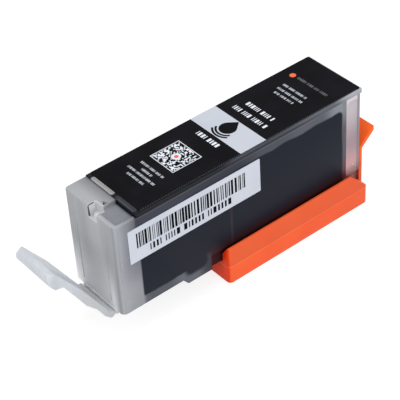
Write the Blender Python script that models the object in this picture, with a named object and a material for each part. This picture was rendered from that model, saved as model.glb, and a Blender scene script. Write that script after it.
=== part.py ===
"""Inkjet ink cartridge: a clear tank with its lid, foam, free ink, outlet, contact board and latch lever,
standing in the shipping cap that closes its outlet.

X runs from the latch end to the rear, Y across the cartridge, Z up. The origin is the centre of the
shipping cap's flat underside. Lengths are in metres.
"""

import math

import bmesh
import bpy
from mathutils import Matrix, Vector

MM = 0.001
MERGE = 0.001 * MM  # welds a curve's caps to its sides
SHARP = math.radians(35)  # edges sharper than this stay crisp in the shading
CORNER_STEPS = 4
EDGE_STEPS = 3

# Fits
CLEAR = 0.3 * MM  # between pieces that seat on each other
ADHESIVE = 0.05 * MM  # under the label and the sticker
WELD = 0.2 * MM  # the lid's welded seam
PAST = 2.0 * MM  # how far a cutter runs past the face that it opens
SINK = 0.15 * MM  # how far a joined strip runs into the wall that carries it

# Tank, outside
TANK_WIDTH = 20.0 * MM
TANK_HEIGHT = 30.1 * MM  # foot to the lid's seam
CORNER = 1.4 * MM  # radius of the head's near upright corner
FAR_CORNER = 0.75 * MM  # radius of its far one
REAR_CORNER = 0.35 * MM  # radius of the upright corners at the rear and on the lid
HEAD_EDGE = 0.6 * MM  # radius of the head's top edges
HEAD_LENGTH = 6.35 * MM  # front face to the lid
BELLY_RISE = 1.9 * MM  # the front of the underside above the foot
STEP_RUN = 1.6 * MM  # length of the slope from there down to the foot
WELL_LENGTH = 7.85 * MM  # from the slope to where the foot narrows for the cap
RECESS_LEAD = 3.95 * MM  # from there to the cap
RECESS_DEPTH = 1.0 * MM
RECESS_HEIGHT = 4.65 * MM  # foot to the overhang

# Tank, inside
SIDE_WALL = 1.1 * MM
FOOT_FLOOR = 2.1 * MM
BELLY_FLOOR = 2.1 * MM
FRONT_WALL = 1.2 * MM
HOLLOW_LENGTH = 5.2 * MM  # the empty space behind the front wall
HOLLOW_ROOF = 5.4 * MM  # below the head's top
BULKHEAD = 1.2 * MM  # wall between that space and the ink
INK_LENGTH = 27.9 * MM
PARTITION = 1.2 * MM
FOAM_LENGTH = 37.9 * MM
AIR_WALL = 1.6 * MM  # between the foam and the air chamber
AIR_LENGTH = 4.0 * MM
REAR_WALL = 0.9 * MM
DOOR_WIDTH = 6.0 * MM  # the partition's opening at the floor
DOOR_HEIGHT = 3.0 * MM
FILL_GAP = 3.8 * MM  # seam to the top of the foam and ink
PRISM_PLACE = 3.2 * MM  # behind the slope, the ridge that shows an empty tank
PRISM_LENGTH = 3.6 * MM
PRISM_WIDTH = 5.0 * MM
PRISM_HEIGHT = 1.8 * MM

# Head
PANEL_EDGE = -2.6 * MM  # Y of the step from the high far panel to the near platform
PLATFORM_DROP = 1.1 * MM
PLATFORM_ROUND = 0.45 * MM
POCKET_DEPTH = 0.3 * MM  # of the shallow pocket in the platform
POCKET_CORNER = 0.7 * MM
FRONT_RIM = 1.05 * MM  # between the pocket and the front face
NEAR_RIM = 0.55 * MM
NOTCH_EDGE = 0.4 * MM  # Y of the notch's far side at the top
NOTCH_WIDTH = 3.2 * MM  # at the top
NOTCH_LEAN = 0.45 * MM  # how far the far side leans in at the foot
NOTCH_FOOT = 1.3 * MM  # width at the foot
NOTCH_LENGTH = 2.5 * MM
NOTCH_DEPTH = 3.4 * MM
DIMPLE_RADIUS = 0.95 * MM  # to the corners of the three-sided hole behind the notch
DIMPLE_DEPTH = 1.8 * MM
DIMPLE_RIM = 0.3 * MM  # round it, towards the notch and the platform
GROOVE_WIDTH = 0.4 * MM
GROOVE_DEPTH = 0.25 * MM
GROOVE_HIGH = 8.9 * MM  # below the head's top
GROOVE_LOW = 2.0 * MM  # above the belly
GROOVE_PLACES = (-5.2 * MM, 6.3 * MM)  # Y
SLOT_WIDTH = 1.8 * MM
SLOT_HEIGHT = 0.8 * MM
SLOT_RISE = 0.3 * MM  # above the foot of the strip behind the lever
SLOT_PLACES = (1.3 * MM, 5.0 * MM)  # Y

# Outlet
OUTLET_PLACE = 49.0 * MM  # from the front face
SPOUT_RADIUS = 5.5 * MM
SPOUT_DROP = 1.5 * MM  # below the foot
SPOUT_WALL = 1.0 * MM
FELT_THICKNESS = 2.5 * MM

# Lid, label and sticker
LID_THICKNESS = 1.35 * MM
LID_LIP = 0.3 * MM  # the lid stands this much outside the tank
LID_EDGE = 0.3 * MM
RIM_DEPTH = 1.2 * MM
RIM_THICKNESS = 0.8 * MM
FOAM_RIB = 0.8 * MM
FOAM_RIBS = 4
VENT_POCKET_WIDTH = 0.9 * MM
VENT_POCKET_DEPTH = 0.4 * MM
VENT_POCKET_CORNER = 0.4 * MM
VENT_POCKET_NEAR = 1.1 * MM  # from the lid's near edge
VENT_POCKET_FAR = 2.1 * MM  # from its far edge
VENT_BAR = 1.25 * MM  # between the two pockets
VENT_BAR_PLACE = -1.1 * MM  # Y of its middle
VENT_GROOVE = 0.3 * MM  # radius of the air path's groove under the label
VENT_TURNS = 6
VENT_PITCH = 1.4 * MM
VENT_REACH = 5.0 * MM  # to each side
VENT_PLACE = 60.0 * MM  # from the lid's front edge
FILL_PLACE = 14.0 * MM  # from the lid's front edge
BALL_RADIUS = 1.45 * MM
BALL_SHOULDER = 0.9 * MM  # radius of the hole that stops the ball
LABEL_FRONT_SETBACK = 1.25 * MM  # from the lid's front edge
LABEL_SETBACK = 0.5 * MM  # from its rear edge
LABEL_INSET = 0.3 * MM  # from its sides
FILM = 0.1 * MM
LABEL_CORNER = 0.6 * MM
STICKER_LENGTH = 42.0 * MM
STICKER_HEIGHT = 10.4 * MM
STICKER_START = 3.7 * MM  # from the front face
STICKER_DROP = 2.8 * MM  # below the seam
STICKER_CORNER = 0.3 * MM

# Contact board
BOARD_WIDTH = 12.0 * MM
BOARD_HEIGHT = 8.0 * MM
BOARD_THICKNESS = 0.6 * MM
BOARD_RISE = 2.8 * MM  # its lower edge above the foot
SEAT_MARGIN = 1.0 * MM  # of wall round it
PAD_ROWS = 2
PAD_COLUMNS = 5
PAD_WIDTH = 1.2 * MM
PAD_HEIGHT = 2.2 * MM
PAD_MARGIN = 1.2 * MM  # to the board's edges
PAD_PROUD = 0.1 * MM

# Latch lever
LEVER_WIDTH = 14.0 * MM
ROOT_RADIUS = 0.95 * MM
ROOT_FROM = math.radians(225)  # the root's round stretch, counted from the side that faces the tank
ROOT_TO = math.radians(470)
ROOT_STEPS = 10
ROOT_REACH = 1.4 * MM  # hinge line in front of the front face
ROOT_DROP = 0.55 * MM  # hinge line below the belly
LAND_LENGTH = 1.3 * MM  # the tank's strip that the lever springs from
LAND_DROP = 1.3 * MM
ARM_LEAN = math.radians(60.3)  # above the horizontal
ARM_LENGTH = 15.9 * MM  # hinge line to the bend
ARM_SET = 0.25 * MM  # the arm's inner face, outside the hinge line
ARM_THICKNESS = 2.1 * MM
THIN_START = 1.5 * MM  # from the hinge line, where the arm is thinnest
THIN_END = 5.8 * MM
THIN_THICKNESS = 1.15 * MM
SWELL_RUN = 4.0 * MM  # from there to the full thickness
GRIP_LEAN = math.radians(54.3)
NECK_LENGTH = 5.5 * MM  # bend to the catch
NECK_THICKNESS = 1.6 * MM
GRIP_LENGTH = 6.4 * MM  # catch to the tip
GRIP_THICKNESS = 3.2 * MM
GRIP_CORNER = 1.7 * MM  # in plan
GRIP_EDGE = 1.1 * MM
CATCH_RUN = 1.7 * MM

# Shipping cap
CAP_LENGTH = 49.9 * MM
CAP_WALL = 2.7 * MM  # the walls beside the tank's foot
CAP_CLASP = 0.85 * MM  # how far they reach above the tank's overhang
CAP_CORNER = 1.2 * MM
CAP_END = 1.2 * MM  # the tray's front wall
CAP_FLOOR = 1.2 * MM
SEAL_RISE = 1.2 * MM  # the seal cup's floor above the cap's floor
LEAD_IN_DROP = 2.15 * MM  # below the tank's overhang, where the walls begin to open out
LEAD_IN = 2.1 * MM  # how far they open
CHAMFER = 6.4 * MM  # of the walls' rear corners
CAP_RIB = 1.0 * MM
CAP_RIB_PLACES = (-17.0 * MM, 8.0 * MM, 17.0 * MM)  # X
PLATE = 1.1 * MM
PLATE_INSET = 0.4 * MM  # from the tank's sides
TAB_REACH = 4.3 * MM
TAB_RISE = 3.9 * MM
SEAL_RADIUS = 6.0 * MM
SEAL_THICKNESS = 2.0 * MM
CUP_WALL = 1.0 * MM
CUP_LIP = 1.4 * MM

# Worked out from the sizes above
HEAD_SPACES = FRONT_WALL + HOLLOW_LENGTH + BULKHEAD
TANK_LENGTH = HEAD_SPACES + INK_LENGTH + PARTITION + FOAM_LENGTH + AIR_WALL + AIR_LENGTH + REAR_WALL
CAP_REAR = CAP_LENGTH / 2
TANK_REAR = CAP_REAR - PLATE - CLEAR
TANK_FRONT = TANK_REAR - TANK_LENGTH
HALF = TANK_WIDTH / 2
SEAL_LOW = CAP_FLOOR + SEAL_RISE + CLEAR
FOOT = SEAL_LOW + SEAL_THICKNESS + CLEAR + SPOUT_DROP
BELLY = FOOT + BELLY_RISE
OVERHANG = FOOT + RECESS_HEIGHT
SEAM = FOOT + TANK_HEIGHT
LID_LOW = SEAM + WELD
LID_TOP = LID_LOW + LID_THICKNESS
HEAD = LID_TOP + ADHESIVE
PLATFORM = HEAD - PLATFORM_DROP
FILL_TOP = SEAM - FILL_GAP
HEAD_REAR = TANK_FRONT + HEAD_LENGTH
LID_FRONT = HEAD_REAR + WELD
LID_REAR = TANK_REAR + LID_LIP
LID_HALF = HALF + LID_LIP
INK_FRONT = TANK_FRONT + HEAD_SPACES
INK_REAR = INK_FRONT + INK_LENGTH
FOAM_FRONT = INK_REAR + PARTITION
FOAM_REAR = FOAM_FRONT + FOAM_LENGTH
AIR_FRONT = FOAM_REAR + AIR_WALL
AIR_REAR = TANK_REAR - REAR_WALL
ROOM = HALF - SIDE_WALL  # half width inside the tank
FOOT_ROOM = ROOM - RECESS_DEPTH  # half width inside the narrow foot
LEDGE = OVERHANG + SIDE_WALL  # the floor beside the narrow foot
OUTLET = TANK_FRONT + OUTLET_PLACE
RECESS = -CAP_REAR - RECESS_LEAD  # the foot is narrow from here
WIDE_END = RECESS - SIDE_WALL  # and its full width ends here, inside
WELL = RECESS - WELL_LENGTH  # the tank's full depth starts here
PRISM = WELL + PRISM_PLACE
HINGE = Vector((TANK_FRONT - ROOT_REACH, 0, BELLY - ROOT_DROP))
FOOT_HALF = HALF - RECESS_DEPTH + CLEAR  # half width of the space that the cap leaves for the foot
CAP_HALF = FOOT_HALF + CAP_WALL
CAP_HEIGHT = OVERHANG + CAP_CLASP
LEAD_IN_START = OVERHANG - LEAD_IN_DROP
PLATE_TOP = FOOT + BOARD_RISE + BOARD_HEIGHT  # the cap's plate covers the contacts

for old in list(bpy.data.objects):
    bpy.data.objects.remove(old)

parts = bpy.data.collections.new("ink_cartridge")
cutters = bpy.data.collections.new("cutters")
for collection in (parts, cutters):
    bpy.context.scene.collection.children.link(collection)


def new_object(name, mesh, collection):
    obj = bpy.data.objects.new(name, mesh)
    collection.objects.link(obj)
    if collection is cutters:
        obj.hide_render = True
        obj.display_type = "WIRE"
    return obj


def mesh_object(name, shape, collection):
    """An object from a bmesh, shaded smooth across its round corners."""
    bmesh.ops.recalc_face_normals(shape, faces=shape.faces)
    mesh = bpy.data.meshes.new(name)
    shape.to_mesh(mesh)
    shape.free()
    mesh.shade_smooth()
    mesh.set_sharp_from_angle(angle=SHARP)
    return new_object(name, mesh, collection)


def round_edges(shape, radius, chosen, segments):
    edges = [edge for edge in shape.edges if chosen(*(v.co for v in edge.verts))]
    bmesh.ops.bevel(shape, geom=edges, offset=radius, segments=segments, profile=0.5, affect="EDGES")


def block(name, low, high, collection=cutters, corner=0.0, along=2, top=0.0):
    """A box between two points. The edges along one axis can be rounded, and then those of its top.

    A pair of radii is for the edges on the low side and those on the high side.
    """
    low, high = Vector(low), Vector(high)
    size = high - low
    shape = bmesh.new()
    place = Matrix.Translation((low + high) / 2) @ Matrix.Diagonal((*size, 1))
    bmesh.ops.create_cube(shape, matrix=place)
    across, middle = (along + 2) % 3, (low + high) / 2
    pair = corner if isinstance(corner, tuple) else (corner, corner)
    for side, radius in zip((-1, 1), pair):
        if radius:
            round_edges(shape, radius, lambda a, b: abs((a - b)[along]) > size[along] / 2
                        and side * (a - middle)[across] > 0, CORNER_STEPS)
    if top:
        level = high.z - top / 2
        round_edges(shape, top, lambda a, b: a.z > level and b.z > level, EDGE_STEPS)
    return mesh_object(name, shape, collection)


def drum(name, centre, radius, low, high, collection=cutters, sides=32):
    """An upright cylinder."""
    shape = bmesh.new()
    middle = Matrix.Translation((centre[0], centre[1], (low + high) / 2))
    bmesh.ops.create_cone(shape, cap_ends=True, segments=sides, radius1=radius, radius2=radius,
                          depth=high - low, matrix=middle)
    return mesh_object(name, shape, collection)


def welded_mesh(curve, collection):
    """A mesh object in place of a curve, with its caps joined to its sides."""
    graph = bpy.context.evaluated_depsgraph_get()
    mesh = bpy.data.meshes.new_from_object(curve.evaluated_get(graph))
    shape = bmesh.new()
    shape.from_mesh(mesh)
    bmesh.ops.remove_doubles(shape, verts=shape.verts, dist=MERGE)
    obj = mesh_object(curve.name + "_solid", shape, collection)
    obj.matrix_world = curve.matrix_world
    name = curve.name
    bpy.data.objects.remove(curve)
    obj.name = name
    return obj


def prism(name, outline, low, high, along="Y", collection=cutters):
    """A flat outline extruded along Y, with points (x, z), or along X, with points (y, z)."""
    curve = bpy.data.curves.new(name, "CURVE")
    curve.dimensions = "2D"
    curve.fill_mode = "BOTH"
    curve.extrude = (high - low) / 2
    spline = curve.splines.new("POLY")
    spline.points.add(len(outline) - 1)
    for point, (across, up) in zip(spline.points, outline):
        point.co = (across, up, 0, 1)
    spline.use_cyclic_u = True
    obj = new_object(name, curve, collection)
    middle = (low + high) / 2
    if along == "Y":
        obj.matrix_world = Matrix.Translation((0, middle, 0)) @ Matrix.Rotation(math.pi / 2, 4, "X")
    else:
        turn = Matrix(((0, 0, 1, 0), (1, 0, 0, 0), (0, 1, 0, 0), (0, 0, 0, 1)))
        obj.matrix_world = Matrix.Translation((middle, 0, 0)) @ turn
    bpy.context.view_layer.update()
    return welded_mesh(obj, collection)


def boolean(target, other, operation):
    modifier = target.modifiers.new(other.name, "BOOLEAN")
    modifier.operation = operation
    modifier.object = other
    modifier.solver = "EXACT"


def cut(target, *others):
    for other in others:
        boolean(target, other, "DIFFERENCE")


def join(target, *others):
    for other in others:
        boolean(target, other, "UNION")


def material(name, colour, roughness, metallic=0.0, alpha=1.0):
    made = bpy.data.materials.new(name)
    made.use_nodes = True
    made.diffuse_color = (*colour, alpha)
    shader = made.node_tree.nodes["Principled BSDF"]
    shader.inputs["Base Color"].default_value = (*colour, 1)
    shader.inputs["Roughness"].default_value = roughness
    shader.inputs["Metallic"].default_value = metallic
    shader.inputs["Alpha"].default_value = alpha
    return made


def finish(obj, look):
    obj.data.materials.clear()
    obj.data.materials.append(look)
    return obj


def chambers():
    """The three spaces that the lid closes, as (name, front, rear)."""
    return (("ink", INK_FRONT, INK_REAR), ("foam", FOAM_FRONT, FOAM_REAR), ("air", AIR_FRONT, AIR_REAR))


def head_envelope():
    """The rounded block that the tank fills: high over the far panel, lower over the near platform."""
    low, rear = (TANK_FRONT, -HALF, FOOT - PAST), TANK_REAR + PAST
    corners = (CORNER, FAR_CORNER)
    near = block("platform_envelope", low, (rear, HALF, PLATFORM), corner=corners, top=PLATFORM_ROUND)
    far = block("panel_envelope", low, (rear, HALF, HEAD), corner=corners, top=HEAD_EDGE)
    cut(far, block("panel_side", (TANK_FRONT - PAST, -HALF - PAST, FOOT - 2 * PAST),
                   (rear + PAST, PANEL_EDGE, HEAD + PAST)))
    join(near, far)
    return near


def tank_shell():
    """The outside of the tank: its side outline, rounded at the upright corners and round the head."""
    side = [
        (TANK_FRONT, BELLY),
        (WELL - STEP_RUN, BELLY),
        (WELL, FOOT),
        (TANK_REAR, FOOT),
        (TANK_REAR, SEAM),
        (HEAD_REAR, SEAM),
        (HEAD_REAR, HEAD + PAST),
        (TANK_FRONT, HEAD + PAST),
    ]
    shell = prism("tank_body", side, -HALF, HALF, collection=parts)
    boolean(shell, head_envelope(), "INTERSECT")
    reach = block("rear_corners", (TANK_FRONT - PAST, -HALF, FOOT - PAST), (TANK_REAR, HALF, SEAM + PAST),
                  corner=REAR_CORNER)
    boolean(shell, reach, "INTERSECT")
    for name, side_y in (("near", -HALF), ("far", HALF)):
        cut(shell, block(f"foot_recess_{name}", (RECESS, side_y - RECESS_DEPTH, FOOT - PAST),
                         (TANK_REAR + PAST, side_y + RECESS_DEPTH, OVERHANG)))
    return shell


def ink_spaces():
    """The boxes that make up the ink chamber, as (name, lowest corner, highest corner)."""
    return (
        ("front", (INK_FRONT, -ROOM, BELLY + BELLY_FLOOR), (WIDE_END, ROOM, SEAM + PAST)),
        ("well", (WELL, -ROOM, FOOT + FOOT_FLOOR), (WIDE_END, ROOM, LEDGE + PAST)),
        ("rear", (WIDE_END - PAST, -ROOM, LEDGE), (INK_REAR, ROOM, SEAM + PAST)),
        ("foot", (WIDE_END - PAST, -FOOT_ROOM, FOOT + FOOT_FLOOR), (INK_REAR, FOOT_ROOM, LEDGE + PAST)),
    )


def level_prism(name, margin):
    """The ridge on the floor of the ink chamber, or the space that the ink leaves for it."""
    half, floor = PRISM_LENGTH / 2 + margin, FOOT + FOOT_FLOOR
    apex = floor + PRISM_HEIGHT + margin
    sunk = floor - FOOT_FLOOR / 2
    front, rear = PRISM - half, PRISM + half
    outline = [(front, floor), (front, sunk), (rear, sunk), (rear, floor), (PRISM, apex)]
    return prism(name, outline, -PRISM_WIDTH / 2 - margin, PRISM_WIDTH / 2 + margin)


def hollow_out(shell):
    """The ink, foam and air chambers, open at the seam, and the empty space in the head, open underneath."""
    cut(shell, block("head_hollow", (TANK_FRONT + FRONT_WALL, -ROOM, BELLY - PAST),
                     (TANK_FRONT + FRONT_WALL + HOLLOW_LENGTH, ROOM, HEAD - HOLLOW_ROOF)))
    for name, low, high in ink_spaces():
        cut(shell, block(f"ink_space_{name}", low, high))
    join(shell, level_prism("level_prism", 0))
    for name, front, rear in chambers()[1:]:
        cut(shell, block(f"{name}_space", (front, -ROOM, LEDGE), (rear, ROOM, SEAM + PAST)))
        low, high = (front, -FOOT_ROOM, FOOT + FOOT_FLOOR), (rear, FOOT_ROOM, LEDGE + PAST)
        cut(shell, block(f"{name}_foot", low, high))
    door = FOOT + FOOT_FLOOR
    cut(shell, block("partition_door", (INK_REAR - PAST, -DOOR_WIDTH / 2, door),
                     (FOAM_FRONT + PAST, DOOR_WIDTH / 2, door + DOOR_HEIGHT)))


def shape_head(shell):
    """The platform's pocket, the notch, the three-sided hole behind it, and the front face's grooves."""
    cut(shell, block("head_pocket", (TANK_FRONT + FRONT_RIM, NEAR_RIM - HALF, PLATFORM - POCKET_DEPTH),
                     (HEAD_REAR + PAST, PANEL_EDGE, PLATFORM + PAST), corner=POCKET_CORNER))
    foot, far_foot, near = HEAD - NOTCH_DEPTH, NOTCH_EDGE - NOTCH_LEAN, NOTCH_EDGE - NOTCH_WIDTH
    notch = [(NOTCH_EDGE, HEAD + PAST), (NOTCH_EDGE, HEAD), (far_foot, foot), (far_foot - NOTCH_FOOT, foot),
             (near, HEAD), (near, HEAD + PAST)]
    cut(shell, prism("notch", notch, TANK_FRONT - PAST, TANK_FRONT + NOTCH_LENGTH, along="X"))
    half_side = DIMPLE_RADIUS * math.cos(math.radians(30))
    centre = (TANK_FRONT + NOTCH_LENGTH + DIMPLE_RIM + half_side, PANEL_EDGE + DIMPLE_RIM + DIMPLE_RADIUS / 2)
    cut(shell, drum("dimple", centre, DIMPLE_RADIUS, HEAD - DIMPLE_DEPTH, HEAD + PAST, sides=3))
    for i, place in enumerate(GROOVE_PLACES):
        low = (TANK_FRONT - PAST, place - GROOVE_WIDTH / 2, BELLY + GROOVE_LOW)
        high = (TANK_FRONT + GROOVE_DEPTH, place + GROOVE_WIDTH / 2, HEAD - GROOVE_HIGH)
        cut(shell, block(f"front_groove_{i}", low, high))


def add_hinge_land(shell):
    """The strip under the front face that the lever springs from, with slots through it."""
    front, foot = HINGE.x + ROOT_RADIUS + CLEAR, BELLY - LAND_DROP
    rear = front + LAND_LENGTH
    join(shell, block("hinge_land", (front, -LEVER_WIDTH / 2, foot), (rear, LEVER_WIDTH / 2, BELLY + SINK)))
    low = foot + SLOT_RISE
    for i, place in enumerate(SLOT_PLACES):
        cut(shell, block(f"land_slot_{i}", (front - PAST, place - SLOT_WIDTH / 2, low),
                         (rear + PAST, place + SLOT_WIDTH / 2, low + SLOT_HEIGHT)))


def add_board_seat(shell):
    """The thicker rear wall and the shallow pocket in it that holds the contact board."""
    half, low = BOARD_WIDTH / 2 + CLEAR, FOOT + BOARD_RISE - CLEAR
    high = low + BOARD_HEIGHT + 2 * CLEAR
    depth = BOARD_THICKNESS + PAD_PROUD + CLEAR
    join(shell, block("board_seat", (TANK_REAR - depth - SEAT_MARGIN, -half - SEAT_MARGIN, low - SEAT_MARGIN),
                      (AIR_REAR + REAR_WALL / 2, half + SEAT_MARGIN, high + SEAT_MARGIN)))
    cut(shell, block("board_pocket", (TANK_REAR - depth, -half, low), (TANK_REAR + PAST, half, high)))


def tank_body(look):
    shell = tank_shell()
    hollow_out(shell)
    shape_head(shell)
    add_hinge_land(shell)
    add_board_seat(shell)
    join(shell, drum("spout", (OUTLET, 0), SPOUT_RADIUS, FOOT - SPOUT_DROP, FOOT + FOOT_FLOOR / 2))
    bore = SPOUT_RADIUS - SPOUT_WALL
    cut(shell, drum("spout_bore", (OUTLET, 0), bore, FOOT - SPOUT_DROP - PAST, FOOT + FOOT_FLOOR + CLEAR))
    return finish(shell, look)


def lid(look):
    cover = block("tank_lid", (LID_FRONT, -LID_HALF, LID_LOW), (LID_REAR, LID_HALF, LID_TOP), parts,
                  corner=REAR_CORNER, top=LID_EDGE)
    inside, within = ROOM - CLEAR, LID_LOW + LID_THICKNESS / 2
    for name, front, rear in chambers():
        low, high = (front + CLEAR, -inside, SEAM - RIM_DEPTH), (rear - CLEAR, inside, within)
        join(cover, block(f"{name}_rim", low, high, corner=SIDE_WALL))
        cut(cover, block(f"{name}_rim_inside", (low[0] + RIM_THICKNESS, RIM_THICKNESS - inside, SEAM - PAST),
                         (high[0] - RIM_THICKNESS, inside - RIM_THICKNESS, LID_LOW)))
    for i in range(FOAM_RIBS):
        place = 2 * ROOM * (i + 1) / (FOAM_RIBS + 1) - ROOM
        low = (FOAM_FRONT + 2 * RIM_THICKNESS, place - FOAM_RIB / 2, FILL_TOP + CLEAR)
        high = (FOAM_REAR - 2 * RIM_THICKNESS, place + FOAM_RIB / 2, within)
        join(cover, block(f"foam_rib_{i}", low, high))
    front = LID_FRONT + (LABEL_FRONT_SETBACK - VENT_POCKET_WIDTH) / 2
    near_pocket = (VENT_POCKET_NEAR - LID_HALF, VENT_BAR_PLACE - VENT_BAR / 2)
    far_pocket = (VENT_BAR_PLACE + VENT_BAR / 2, LID_HALF - VENT_POCKET_FAR)
    for i, (near, far) in enumerate((near_pocket, far_pocket)):
        low = (front, near, LID_TOP - VENT_POCKET_DEPTH)
        high = (front + VENT_POCKET_WIDTH, far, LID_TOP + PAST)
        cut(cover, block(f"vent_pocket_{i}", low, high, corner=VENT_POCKET_CORNER))
    cut(cover, vent_groove())
    add_fill_hole(cover)
    return finish(cover, look)


def vent_groove():
    """The long air path: a shallow groove that winds to and fro under the label."""
    curve = bpy.data.curves.new("vent_groove", "CURVE")
    curve.dimensions = "3D"
    curve.bevel_depth = VENT_GROOVE
    curve.bevel_resolution = 1
    curve.use_fill_caps = True
    path = []
    for turn in range(VENT_TURNS):
        side = VENT_REACH if turn % 2 else -VENT_REACH
        x = LID_FRONT + VENT_PLACE + turn * VENT_PITCH
        path += [(x, -side), (x, side)]
    spline = curve.splines.new("POLY")
    spline.points.add(len(path) - 1)
    for point, (x, y) in zip(spline.points, path):
        point.co = (x, y, LID_TOP, 1)
    obj = new_object("vent_groove", curve, cutters)
    bpy.context.view_layer.update()
    return welded_mesh(obj, cutters)


def add_fill_hole(cover):
    """The boss and stepped hole that the ball closes."""
    centre = (LID_FRONT + FILL_PLACE, 0)
    bore = BALL_RADIUS + CLEAR / 2
    shoulder = LID_TOP - 2 * BALL_RADIUS - CLEAR
    within = LID_LOW + LID_THICKNESS / 2
    join(cover, drum("fill_boss", centre, bore + RIM_THICKNESS, shoulder - RIM_THICKNESS, within))
    cut(cover, drum("fill_bore", centre, bore, shoulder, LID_TOP + PAST))
    cut(cover, drum("fill_shoulder", centre, BALL_SHOULDER, shoulder - PAST, LID_TOP))


def fill_ball(look):
    shape = bmesh.new()
    centre = (LID_FRONT + FILL_PLACE, 0, LID_TOP - BALL_RADIUS - CLEAR / 2)
    bmesh.ops.create_uvsphere(shape, u_segments=20, v_segments=12, radius=BALL_RADIUS,
                              matrix=Matrix.Translation(centre))
    return finish(mesh_object("fill_ball", shape, parts), look)


def top_label(look):
    half, under = LID_HALF - LABEL_INSET, LID_TOP + ADHESIVE
    low = (LID_FRONT + LABEL_FRONT_SETBACK, -half, under)
    high = (LID_REAR - LABEL_SETBACK, half, under + FILM)
    return finish(block("top_label", low, high, parts, corner=LABEL_CORNER), look)


def side_sticker(look):
    front, top = TANK_FRONT + STICKER_START, SEAM - STICKER_DROP
    face = -HALF - ADHESIVE
    low, high = (front, face - FILM, top - STICKER_HEIGHT), (front + STICKER_LENGTH, face, top)
    return finish(block("side_sticker", low, high, parts, corner=STICKER_CORNER, along=1), look)


def free_ink(look):
    """The ink that stands free in the front chamber, clear of its walls, floor, prism and lid."""
    pieces = []
    for name, low, high in ink_spaces():
        low = [value + CLEAR for value in low]
        high = [value - CLEAR for value in high[:2]] + [min(high[2], FILL_TOP)]
        if name in ("rear", "foot"):
            low[0] -= CLEAR
        pieces.append(block("free_ink" if not pieces else f"free_ink_{name}", low, high,
                            cutters if pieces else parts))
    ink = pieces[0]
    join(ink, *pieces[1:])
    cut(ink, level_prism("ink_round_prism", CLEAR))
    return finish(ink, look)


def absorbers(foam_look, felt_look):
    """The foam that fills the chamber, and the denser felt under it in the narrow foot."""
    front, rear = FOAM_FRONT + CLEAR, FOAM_REAR - CLEAR
    room, foot_room = ROOM - CLEAR, FOOT_ROOM - CLEAR
    low = FOOT + FOOT_FLOOR + CLEAR
    felt_top = low + FELT_THICKNESS
    foam = block("upper_foam", (front, -room, LEDGE + CLEAR), (rear, room, FILL_TOP), parts)
    join(foam, block("foam_foot", (front, -foot_room, felt_top + CLEAR), (rear, foot_room, LEDGE + PAST)))
    felt = block("lower_felt", (front, -foot_room, low), (rear, foot_room, felt_top), parts)
    return finish(foam, foam_look), finish(felt, felt_look)


def outlet_wick(look):
    radius = SPOUT_RADIUS - SPOUT_WALL - CLEAR
    wick = drum("outlet_wick", (OUTLET, 0), radius, FOOT - SPOUT_DROP + CLEAR, FOOT + FOOT_FLOOR, parts)
    return finish(wick, look)


def contact_board(look):
    """The circuit board in the rear wall, with its rows of contact pads."""
    outer = TANK_REAR - PAD_PROUD
    low = FOOT + BOARD_RISE
    board = block("contact_board", (outer - BOARD_THICKNESS, -BOARD_WIDTH / 2, low),
                  (outer, BOARD_WIDTH / 2, low + BOARD_HEIGHT), parts)
    pitch_y = (BOARD_WIDTH - 2 * PAD_MARGIN - PAD_WIDTH) / (PAD_COLUMNS - 1)
    pitch_z = (BOARD_HEIGHT - 2 * PAD_MARGIN - PAD_HEIGHT) / (PAD_ROWS - 1)
    for row in range(PAD_ROWS):
        for column in range(PAD_COLUMNS):
            y = PAD_MARGIN - BOARD_WIDTH / 2 + column * pitch_y
            z = low + PAD_MARGIN + row * pitch_z
            join(board, block(f"pad_{row}_{column}", (outer - BOARD_THICKNESS / 2, y, z),
                              (TANK_REAR, y + PAD_WIDTH, z + PAD_HEIGHT)))
    return finish(board, look)


def slope(lean):
    """Unit steps along a leaning part of the lever, and square to it, both away from the tank."""
    along = Vector((-math.cos(lean), math.sin(lean)))
    return along, Vector((-along.y, along.x))


def lever_outline():
    """The lever's side outline about its hinge line: a round root, the arm, the bend and the thicker grip."""
    arm, arm_out = slope(ARM_LEAN)
    grip, grip_out = slope(GRIP_LEAN)
    bend = arm * ARM_LENGTH + arm_out * ARM_SET
    catch = bend + grip * NECK_LENGTH
    tip = catch + grip * GRIP_LENGTH
    thin = arm_out * (ARM_SET + THIN_THICKNESS)
    points = [
        bend,
        tip - grip * GRIP_EDGE,
        tip + grip_out * GRIP_EDGE,
        tip - grip * GRIP_EDGE / 2 + grip_out * (GRIP_THICKNESS - GRIP_EDGE),
        tip - grip * GRIP_EDGE * 2 + grip_out * GRIP_THICKNESS,
        catch + grip * CATCH_RUN + grip_out * GRIP_THICKNESS,
        catch + grip_out * NECK_THICKNESS,
        bend + arm_out * ARM_THICKNESS,
        arm * (THIN_END + SWELL_RUN) + arm_out * (ARM_SET + ARM_THICKNESS),
        arm * THIN_END + thin,
        arm * THIN_START + thin,
    ]
    for i in range(ROOT_STEPS + 1):
        turn = ROOT_FROM + (ROOT_TO - ROOT_FROM) * i / ROOT_STEPS
        points.append(Vector((math.cos(turn), math.sin(turn))) * ROOT_RADIUS)
    return [(point.x, point.y) for point in points]


def latch_lever(look, hinge):
    half = LEVER_WIDTH / 2
    lever = prism("latch_lever", lever_outline(), -half - PAST, half + PAST, collection=parts)
    end = ARM_LENGTH + NECK_LENGTH + GRIP_LENGTH
    plan = block("lever_plan", (-end, -half, -end), (end, half, end), corner=GRIP_CORNER)
    plan.rotation_euler.y = GRIP_LEAN
    boolean(lever, plan, "INTERSECT")
    for piece in (lever, plan):
        piece.parent = hinge
    return finish(lever, look)


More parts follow.
